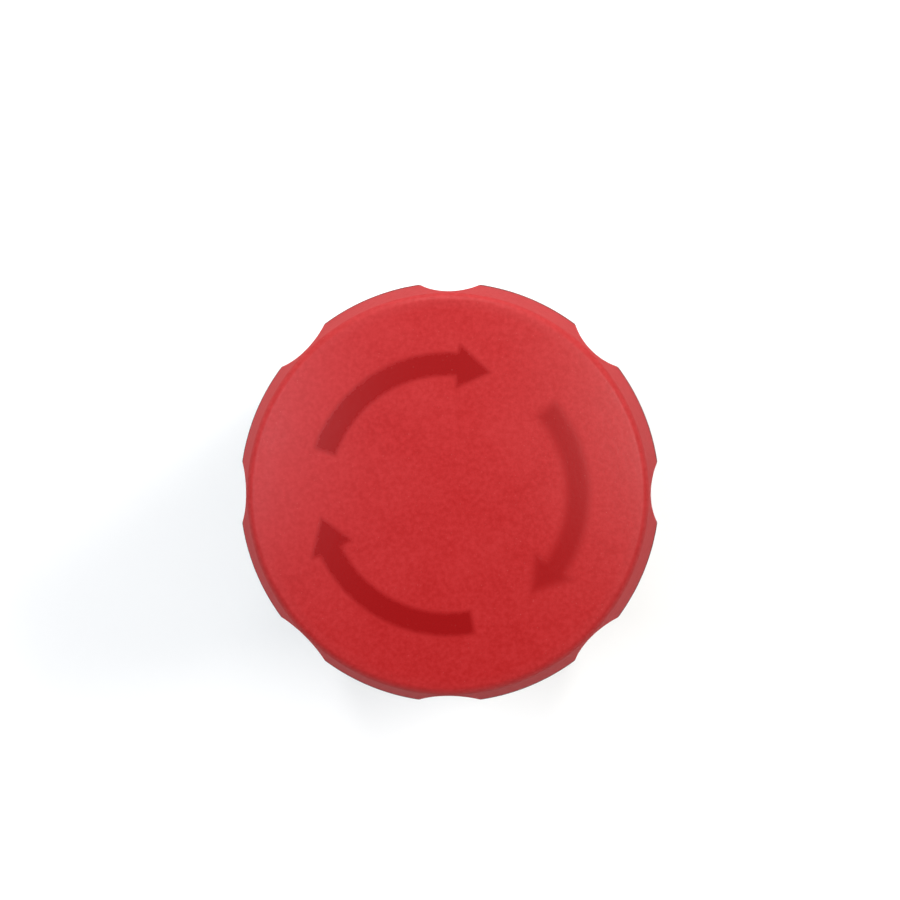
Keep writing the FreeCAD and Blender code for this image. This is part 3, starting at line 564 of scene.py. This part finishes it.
def markArrows(piece):
    # stores how deep each point of the face is inside an arrow, for the red plastic to read
    mesh = piece.data
    places = np.array([v.co[:] for v in mesh.vertices]) / mm
    near = np.flatnonzero(places[:, 2] > arrow["faceZ"])
    depth = np.full(len(places), -arrow["farMm"])
    blur = np.full(len(places), arrow["blurMm"][0])
    strength = np.full(len(places), 1.0)
    for i in range(3):
        found = depthInside(places[near, :2], turnedPoints(arrowRim(arrow), 120 * i))
        closer = found > depth[near]
        depth[near[closer]] = found[closer]
        blur[near[closer]] = arrow["blurMm"][i]
        strength[near[closer]] = arrow["strength"][i]
    for label, numbers in (("arrowDepth", depth), ("arrowBlur", blur), ("arrowStrength", strength)):
        mesh.attributes.new(label, "FLOAT", "POINT").data.foreach_set("value", numbers.astype(np.float32))


def arrowColumns(v):
    # (angle, inner radius, outer radius) from the tail to the tip
    tail = np.linspace(v["tailDeg"], v["neckDeg"] + v["gapDeg"], v["tailColumns"])
    columns = [(deg, v["innerR"], v["outerR"]) for deg in tail]
    for share in np.linspace(0, v["tipEnd"], v["tipColumns"]):
        deg = v["neckDeg"] + (v["tipDeg"] - v["neckDeg"]) * share
        columns.append((deg, v["headInnerR"] + (v["tipR"] - v["headInnerR"]) * share,
                        v["headOuterR"] + (v["tipR"] - v["headOuterR"]) * share))
    return columns


def arrowMesh(v):
    # each arrow is a grid of columns from tail to tip, laid on the dome, with walls down into the cap
    work = bmesh.new()
    across = np.linspace(0, 1, v["rows"])
    columns = arrowColumns(v)
    for i in range(3):
        levels = []
        for top in (True, False):
            level = []
            for k, (deg, low, high) in enumerate(columns):
                line = []
                for j, share in enumerate(across):
                    r = low + (high - low) * share
                    x, y = polar(r, deg + 120 * i)
                    edge = j in (0, len(across) - 1) or k in (0, len(columns) - 1)
                    lift = v["proud"] * (0.5 if edge else 1) if top else -v["depth"]
                    line.append(work.verts.new((x * mm, y * mm, (domeZ(r) + lift) * mm)))
                level.append(line)
            levels.append(level)
        upper, lower = levels
        last, side = len(columns) - 1, len(across) - 1
        for k in range(last):
            for j in range(side):
                for level in levels:
                    work.faces.new((level[k][j], level[k + 1][j], level[k + 1][j + 1], level[k][j + 1]))
            for j in (0, side):
                work.faces.new((upper[k][j], upper[k + 1][j], lower[k + 1][j], lower[k][j]))
        for k in (0, last):
            for j in range(side):
                work.faces.new((upper[k][j], upper[k][j + 1], lower[k][j + 1], lower[k][j]))
    mesh = bpy.data.meshes.new("arrows")
    work.to_mesh(mesh)
    work.free()
    return mesh


arrowPiece = finished("arrowInlays", arrowMesh(arrow), "arrow_inlays")
markArrows(headPiece)
markArrows(arrowPiece)
print("arrows made")


# ---- bezel housing: flange and collar, and a neck with an M22 thread

housing = {
    "threadPitch": 1.5, "threadDepth": 0.8, "threadLow": -20.6, "threadHigh": -0.5, "threadFade": 0.9,
    "crestR": 10.97, "crestShare": 0.0625, "rootShare": 0.375, "cutOutsideR": 10.9, "boreR": 10.02,
    "keyHalf": 1.5, "keyFloor": 10.1, "keyLow": -14.0, "keyTop": 0.02,
    "slotHalfDeg": 17.0, "slotCentreDeg": -40.0, "slotTop": -16.0, "grooveR": 10.0, "grooveZ": (-18.4, -16.0),
    "flutes": 40, "fluteDepth": 0.22, "fluteZ": (1.95, 3.2), "fluteFade": 0.3, "fluteOutsideR": 14.9,
    "notchR": 13.7, "notchSlope": 1.5, "notchZ": 3.55, "around": 320, "rowStep": 0.125,
}


def between(tree, value, low, high, soft):
    # 1 between low and high, with edges as wide as soft
    rise = mapped(tree, value, low, low + soft, 0.0, 1.0)
    fall = mapped(tree, value, high - soft, high, 1.0, 0.0)
    return calc(tree, "MULTIPLY", rise, fall)


def allTrue(tree, *tests):
    # each test is (value, limit, comparison). 1 where all hold
    result = None
    for value, limit, comparison in tests:
        test = calc(tree, comparison, value, limit)
        result = calc(tree, "MULTIPLY", result, test) if result else test
    return result


def threadCut(tree, source, radius, angle, height):
    v = housing
    turnShare = calc(tree, "DIVIDE", angle, 2 * math.pi)
    climb = calc(tree, "DIVIDE", height, source.outputs["Pitch"])
    phase = calc(tree, "FRACT", calc(tree, "SUBTRACT", climb, turnShare))
    tooth = calc(tree, "ABSOLUTE", calc(tree, "SUBTRACT", phase, 0.5))
    # flat crest of an eighth of the pitch, straight flanks, and a flat root of a quarter
    groove = mapped(tree, tooth, v["crestShare"], v["rootShare"], 0.0, 1.0)
    low, high, fade = (v[key] * mm for key in ("threadLow", "threadHigh", "threadFade"))
    window = between(tree, height, low, high, fade)
    outside = calc(tree, "GREATER_THAN", radius, v["cutOutsideR"] * mm)
    groove = calc(tree, "MULTIPLY", groove, calc(tree, "MULTIPLY", window, outside))
    return calc(tree, "SUBTRACT", radius, calc(tree, "MULTIPLY", groove, source.outputs["Depth"]))


def keywayCut(tree, radius, sideways, sine, height):
    # a flat floor on the +Y side, outside the bore
    v = housing
    inKey = allTrue(tree, (sideways, v["keyHalf"] * mm, "LESS_THAN"), (sine, 0.5, "GREATER_THAN"),
                    (height, v["keyLow"] * mm, "GREATER_THAN"), (height, v["keyTop"] * mm, "LESS_THAN"),
                    (radius, v["boreR"] * mm, "GREATER_THAN"))
    floor = calc(tree, "DIVIDE", v["keyFloor"] * mm, sine)
    return mixNumber(tree, inKey, radius, calc(tree, "MINIMUM", radius, floor))


def slotCut(tree, radius, outer, angle, height):
    # two ways up to the lock groove, opposite each other
    v = housing
    off = calc(tree, "SUBTRACT", angle, math.radians(v["slotCentreDeg"]))
    off = calc(tree, "ABSOLUTE", calc(tree, "WRAP", off, math.pi / 2, -math.pi / 2))
    inSlot = allTrue(tree, (off, math.radians(v["slotHalfDeg"]), "LESS_THAN"),
                     (height, v["slotTop"] * mm, "LESS_THAN"))
    inSlot = calc(tree, "MULTIPLY", inSlot, outer)
    return mixNumber(tree, inSlot, radius, v["grooveR"] * mm)


def fluteCut(tree, radius, angle, height):
    # shallow flutes round the flange's edge, for the grip
    v = housing
    wave = calc(tree, "COSINE", calc(tree, "MULTIPLY", angle, float(v["flutes"])))
    flute = mapped(tree, wave, -1.0, 1.0, 0.0, v["fluteDepth"] * mm)
    low, high = (z * mm for z in v["fluteZ"])
    flute = calc(tree, "MULTIPLY", flute, between(tree, height, low, high, v["fluteFade"] * mm))
    onEdge = calc(tree, "GREATER_THAN", radius, v["fluteOutsideR"] * mm)
    return calc(tree, "SUBTRACT", radius, calc(tree, "MULTIPLY", flute, onEdge))


def notchCut(tree, radius, sideways, sine, height):
    # the notch on the flange that marks the top
    v = housing
    flat = calc(tree, "ADD", calc(tree, "MULTIPLY", sideways, v["notchSlope"]), v["notchR"] * mm)
    inNotch = allTrue(tree, (height, v["notchZ"] * mm, "GREATER_THAN"), (sine, 0.5, "GREATER_THAN"))
    return mixNumber(tree, inNotch, radius, calc(tree, "MINIMUM", radius, flat))


def threadedRadius(tree, source, radius, angle, height):
    radius = threadCut(tree, source, radius, angle, height)
    sine, cosine = calc(tree, "SINE", angle), calc(tree, "COSINE", angle)
    sideways = calc(tree, "ABSOLUTE", calc(tree, "MULTIPLY", radius, cosine))
    outer = calc(tree, "GREATER_THAN", radius, housing["boreR"] * mm)
    radius = keywayCut(tree, radius, sideways, sine, height)
    radius = slotCut(tree, radius, outer, angle, height)
    radius = fluteCut(tree, radius, angle, height)
    return notchCut(tree, radius, sideways, sine, height)


def housingOutline(v):
    g0, g1 = v["grooveZ"]
    outside = [
        (9.0, -21.0, 0.15), (10.4, -21.0, 0.2), (v["crestR"], -20.5, 0), (v["crestR"], g0, 0),
        (v["grooveR"], g0, 0), (v["grooveR"], g1, 0), (v["crestR"], g1, 0), (v["crestR"], -0.01, 0.0),
        (10.8, 0.0, 0), (10.8, 1.5, 0), (15.0, 1.5, 0.25), (15.0, 3.6, 0.3), (14.1, 4.5, 0.3),
        (13.2, 4.5, 0.35), (13.2, 9.9, 0.3), (12.6, 10.5, 0.3), (11.2, 10.5, 0.1)]
    inside = [
        (11.2, 9.4, 0), (9.0, 9.4, 0), (9.0, 7.6, 0), (5.55, 7.6, 0.2), (5.55, 5.0, 0.1), (8.2, 5.0, 0),
        (8.2, 2.9, 0), (9.7, -2.99, 0), (9.7, -4.8, 0), (8.2, -4.8, 0), (8.2, -9.0, 0), (9.0, -9.0, 0)]
    return outside + inside


def denseOutline(points, v):
    # more points up the upright outer walls, for the thread and the flutes
    dense = [points[0]]
    for point in points[1:]:
        start = dense[-1]
        upright = abs(point[0] - start[0]) < 0.01 and point[0] > v["cutOutsideR"]
        parts = max(1, round(abs(point[1] - start[1]) / v["rowStep"])) if upright else 1
        dense += [start + (point - start) * k / parts for k in range(1, parts + 1)]
    return dense + [dense[0]]


threadTree = turnedTree("threadedNeck", ("Pitch", "Depth"), None, threadedRadius)
housingPoints = denseOutline(roundedOutline(housingOutline(housing), 4), housing)
threadMesh = runTree(threadTree, outlineMesh(housingPoints), {
    "Around": housing["around"], "Material": skins["black_nylon"],
    "Pitch": housing["threadPitch"] * mm, "Depth": housing["threadDepth"] * mm})
housingPiece = finished("bezelHousing", threadMesh, "bezel_housing", 30)
print("bezel housing made:", len(housingPiece.data.polygons), "faces")


# ---- turned rubber and plastic rings

rings = {
    "panelGasket": ("panel_gasket", [
        (11.05, 0.0, 0.1), (14.6, 0.0, 0.3), (14.6, 0.45, 0.1), (14.25, 0.6, 0.1), (14.25, 0.9, 0.1),
        (14.6, 1.05, 0.1), (14.6, 1.5, 0.1), (11.05, 1.5, 0.1)]),
    "lipSeal": ("lip_seal", [
        (6.9, 7.6, 0.1), (9.0, 7.6, 0.1), (9.0, 9.4, 0.1), (6.5, 9.4, 0.3), (5.55, 8.9, 0.12),
        (5.55, 8.5, 0.12), (6.9, 8.5, 0.2)]),
    "sealRetainer": ("seal_retainer", [
        (6.4, 9.4, 0.1), (11.2, 9.4, 0.05), (11.2, 10.2, 0.1), (10.9, 10.5, 0.1), (10.1, 10.5, 0.1),
        (9.9, 10.3, 0.1), (9.3, 10.3, 0.1), (9.1, 10.5, 0.1), (7.1, 10.5, 0.2), (6.4, 10.0, 0.15)]),
}
for ringName, (node, corners) in rings.items():
    turned(ringName, node, corners, 160)
print("rings made:", len(rings))


# ---- springs: round wire, wound closer at its ends

winding = {"perTurn": 40, "endShare": 0.45, "roundSteps": 12}


def springTree():
    tree, source = startTree("woundSpring", ("Radius", "Wire", "Length", "Turns"))
    turns = source.outputs["Turns"]
    steps = calc(tree, "MULTIPLY", turns, float(winding["perTurn"]))
    line = add(tree, "GeometryNodeCurveSpiral", winding["perTurn"], turns, source.outputs["Radius"],
               source.outputs["Radius"], 0.0)
    index = add(tree, "GeometryNodeInputIndex")
    share = calc(tree, "DIVIDE", index, steps)
    eased = mapped(tree, share, 0.0, 1.0, 0.0, 1.0, interpolation_type="SMOOTHSTEP")
    share = mixNumber(tree, winding["endShare"], share, eased)
    room = calc(tree, "SUBTRACT", source.outputs["Length"], source.outputs["Wire"])
    climb = calc(tree, "MULTIPLY", share, room)
    half = calc(tree, "MULTIPLY", source.outputs["Wire"], 0.5)
    climb = calc(tree, "ADD", climb, half)
    wound = add(tree, "GeometryNodeSetPosition", line,
                sockets={"Offset": add(tree, "ShaderNodeCombineXYZ", 0.0, 0.0, climb)})
    section = add(tree, "GeometryNodeCurvePrimitiveCircle",
                  sockets={"Resolution": winding["roundSteps"], "Radius": half})
    tube = add(tree, "GeometryNodeCurveToMesh", wound, sockets={"Profile Curve": section, "Fill Caps": True})
    return endTree(tree, source, tube)


woundSpring = springTree()
# name: node, radius, wire, length, turns, foot of the spring, joint that shortens it, height of the end
# that stays, share of the length kept
springs = {
    "returnSpring": ("return_spring", 6.6, 0.8, 9.0, 4, (0, 0, -9.0), "head_push", -9.0, 0.39),
    "torsionSpring": ("torsion_spring", 6.5, 0.8, 6.5, 6, (0, 0, 17.0), None, 0, 1),
    "closedContactSpring": ("nc_contact_spring", 1.2, 0.4, 11.0, 8, (-6.6, 0, -40.8), "nc_bridge_drop",
                            -40.8, 0.67),
    "openContactSpring": ("no_contact_spring", 1.2, 0.3, 2.6, 3, (6.6, 0, -27.0), "no_bridge_drop",
                          -24.4, 0.38),
    "openReturnSpring": ("no_return_spring", 1.2, 0.4, 11.2, 8, (6.6, 0, -40.8), "no_plunger_press",
                         -40.8, 0.64),
}


def springMesh(radius, wire, length, turns, material):
    return runTree(woundSpring, bpy.data.meshes.new("none"), {
        "Radius": radius * mm, "Wire": wire * mm, "Length": length * mm, "Turns": float(turns),
        "Material": material})


for springName, (node, radius, wire, length, turns, foot, joint, anchorZ, keep) in springs.items():
    mesh = springMesh(radius, wire, length, turns, skins["spring_steel"])
    mesh.transform(Matrix.Translation(Vector(foot) * mm))
    piece = finished(springName, mesh, node, 60)
    if joint:
        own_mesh(piece)
latchSpring = {"radius": 0.65, "wire": 0.35, "length": 2.6, "turns": 4}
latchPlace = Matrix.Translation((3.6 * mm, 0, 2.3 * mm)) @ Matrix.Rotation(math.pi / 2, 4, "Y")
pair = bmesh.new()
for sideDeg in (0, 180):
    mesh = springMesh(**latchSpring, material=skins["spring_steel"])
    mesh.transform(Matrix.Rotation(math.radians(sideDeg), 4, "Z") @ latchPlace)
    pair.from_mesh(mesh)
pairMesh = bpy.data.meshes.new("latchSprings")
pair.to_mesh(pairMesh)
pair.free()
finished("latchSprings", pairMesh, "latch_springs", 60)
print("springs made:", len(springs) + 1)


# ---- moulded and stamped pieces: the frame's shapes with their sharp edges broken

def ribTree():
    # a row of boxes, which cuts a row of grooves
    tree, source = startTree("grooveRow", ("Count", "PitchX", "PitchZ", "SizeX", "SizeY", "SizeZ"))
    step = add(tree, "ShaderNodeCombineXYZ", source.outputs["PitchX"], 0.0, source.outputs["PitchZ"])
    row = add(tree, "GeometryNodeMeshLine", sockets={"Count": source.outputs["Count"], "Offset": step})
    size = add(tree, "ShaderNodeCombineXYZ", *(source.outputs[f"Size{axis}"] for axis in "XYZ"))
    placed = add(tree, "GeometryNodeInstanceOnPoints", row,
                 sockets={"Instance": add(tree, "GeometryNodeMeshCube", size)})
    return endTree(tree, source, placed)


grooveRow = ribTree()
grooves = {
    # node: (first groove's middle, count, pitch, size) in mm
    "nc_case": [((-13.0, 0, -38.6), 6, (0, 1.5), (0.8, 17.0, 0.7))],
    "no_case": [((13.0, 0, -38.6), 6, (0, 1.5), (0.8, 17.0, 0.7))],
    "carrier_base": [((-7.2, -14.0, -18.6), 7, (2.4, 0), (1.0, 0.8, 3.4)),
                     ((-7.2, 14.0, -18.6), 7, (2.4, 0), (1.0, 0.8, 3.4))],
}


def grooveCutter(node):
    work = bmesh.new()
    for first, count, (pitchX, pitchZ), size in grooves[node]:
        mesh = runTree(grooveRow, bpy.data.meshes.new("none"), {
            "Count": float(count), "PitchX": pitchX * mm, "PitchZ": pitchZ * mm, "SizeX": size[0] * mm,
            "SizeY": size[1] * mm, "SizeZ": size[2] * mm, "Material": skins[slotOf[node]]})
        mesh.transform(Matrix.Translation(Vector(first) * mm))
        work.from_mesh(mesh)
    mesh = bpy.data.meshes.new("cutter")
    work.to_mesh(mesh)
    work.free()
    return newObject("cutter", mesh)


soften = {"weld": 0.002, "flatDeg": 0.6, "segments": 2, "edgeDeg": 40, "sharpDeg": 20}


def softEdged(name, node, width):
    copy = cadNodes[node].data.copy()
    work = bmesh.new()
    work.from_mesh(copy)
    bmesh.ops.remove_doubles(work, verts=work.verts, dist=soften["weld"] * mm)
    bmesh.ops.dissolve_limit(work, angle_limit=math.radians(soften["flatDeg"]), verts=work.verts,
                             edges=work.edges)
    work.to_mesh(copy)
    work.free()
    for layer in list(copy.uv_layers):
        copy.uv_layers.remove(layer)
    holder = newObject("holder", copy)
    cutter = grooveCutter(node) if node in grooves else None
    if cutter:
        cut = holder.modifiers.new("grooves", "BOOLEAN")
        cut.object, cut.operation, cut.solver = cutter, "DIFFERENCE", "EXACT"
    # faces with holes in them don't survive the bevel, so they become triangles first
    plain = holder.modifiers.new("plain", "TRIANGULATE")
    plain.min_vertices = 5
    bevel = holder.modifiers.new("edges", "BEVEL")
    bevel.width = width * mm
    bevel.segments = soften["segments"]
    bevel.limit_method = "ANGLE"
    bevel.angle_limit = math.radians(soften["edgeDeg"])
    bevel.use_clamp_overlap = False
    bevel.miter_outer = "MITER_ARC"
    mesh = evaluated(holder)
    if cutter:
        bpy.data.objects.remove(cutter)
    return finished(name, mesh, node, soften["sharpDeg"], recalculate=False)


softPieces = {
    "lockNut": ("lock_nut", 0.18), "keyWasher": ("key_washer", 0.12),
    "carrierCap": ("carrier_cap", 0.15), "carrierBase": ("carrier_base", 0.15),
    "lockRing": ("lock_ring", 0.15),
    "closedCase": ("nc_case", 0.15), "closedLid": ("nc_lid", 0.12),
    "openCase": ("no_case", 0.15), "openLid": ("no_lid", 0.12),
}
for pieceName, (node, width) in softPieces.items():
    piece = softEdged(pieceName, node, width)
    print("soft edges:", pieceName, len(piece.data.polygons), "faces")


# ---- floor, light and camera

stage = {
    "floorHex": "#f4f4f2", "floorSize": 8.0, "floorDrop": 0.2, "floorGrainMm": 1.5, "floorBump": (0.03, 0.05),
    "worldHex": "#f2f4f7", "worldLean": (0.1, 0.995, 0.0), "worldRange": (0.15, 1.0),
    "ceiling": (0.8, 0.97, 1.0, 0.3), "aim": (0, 0, 0.01),
    "lensMm": 258.0, "cameraAway": 0.6, "tilt": (0.008, 0.008), "shiftY": 0.0492, "shiftX": 0.0026,
}
lights = {
    # name: place in metres, size in metres, watts, colour
    "keySoftbox": ((0.62, 0.22, 1.0), 0.5, 9.2, "#fffaf7"),
    "leftSoftbox": ((-0.62, 0.18, 1.0), 0.5, 7.2, "#f3f7ff"),
    "backSoftbox": ((0.0, 1.3, 0.55), 0.9, 14.0, "#ffffff"),
    "frontSoftbox": ((0.1, -1.3, 0.6), 0.9, 2.5, "#ffffff"),
}
floorMaterial, floorTree, floorShader, floorCoords = startMaterial("paperFloor", Roughness=0.8)
floorNoise = noise(floorTree, floorCoords, stage["floorGrainMm"], detail=4.0, roughness=0.6)
floorShader.inputs["Base Color"].default_value = toLinear(stage["floorHex"])
bumpOf(floorTree, floorShader, (floorNoise, *stage["floorBump"]))
floorMesh = bpy.data.meshes.new("floor")
half, floorZ = stage["floorSize"] / 2, cadBox[0].z - stage["floorDrop"] * mm
corners = ((-half, -half), (half, -half), (half, half), (-half, half))
floorMesh.from_pydata([(x, y, floorZ) for x, y in corners], [], [(0, 1, 2, 3)])
floorMesh.materials.append(floorMaterial)
newObject("floor", floorMesh)

world = bpy.data.worlds.new("studio")
bpy.context.scene.world = world
world.use_nodes = True
worldTree = world.node_tree
sky = worldTree.nodes["Background"]
sky.inputs["Color"].default_value = toLinear(stage["worldHex"])
skyUp = add(worldTree, "ShaderNodeTexCoord").outputs["Generated"]
skyWay = add(worldTree, "ShaderNodeVectorMath", skyUp, stage["worldLean"], operation="DOT_PRODUCT")
skyLight = mapped(worldTree, skyWay.outputs["Value"], -1.0, 1.0, *stage["worldRange"])
# a dim ceiling, so that the face keeps its depth of colour
ceiling = add(worldTree, "ShaderNodeSeparateXYZ", skyUp).outputs["Z"]
ceiling = mapped(worldTree, ceiling, *stage["ceiling"])
skyLight = calc(worldTree, "MULTIPLY", skyLight, ceiling)
plug(worldTree, skyLight, sky, "Strength")
for lightName, (place, size, watts, tint) in lights.items():
    lamp = bpy.data.lights.new(lightName, "AREA")
    lamp.size, lamp.energy, lamp.color = size, watts, toLinear(tint)[:3]
    holder = newObject(lightName, lamp)
    holder.location = place
    holder.rotation_euler = (Vector(stage["aim"]) - Vector(place)).to_track_quat("-Z", "Y").to_euler()

camera = bpy.data.cameras.new("camera")
camera.lens, camera.shift_y, camera.shift_x = stage["lensMm"], stage["shiftY"], stage["shiftX"]
viewer = newObject("camera", camera)
target = Vector((0, 0, headCap["topZ"] * mm))
away = Vector((*stage["tilt"], stage["cameraAway"]))
viewer.location = target + away
back = away.normalized()
right = Vector((0, 1, 0)).cross(back).normalized()
viewer.rotation_euler = Matrix((right, back.cross(right), back)).transposed().to_euler()
bpy.context.scene.camera = viewer
bpy.context.scene.view_settings.view_transform = "Standard"
print("stage made")
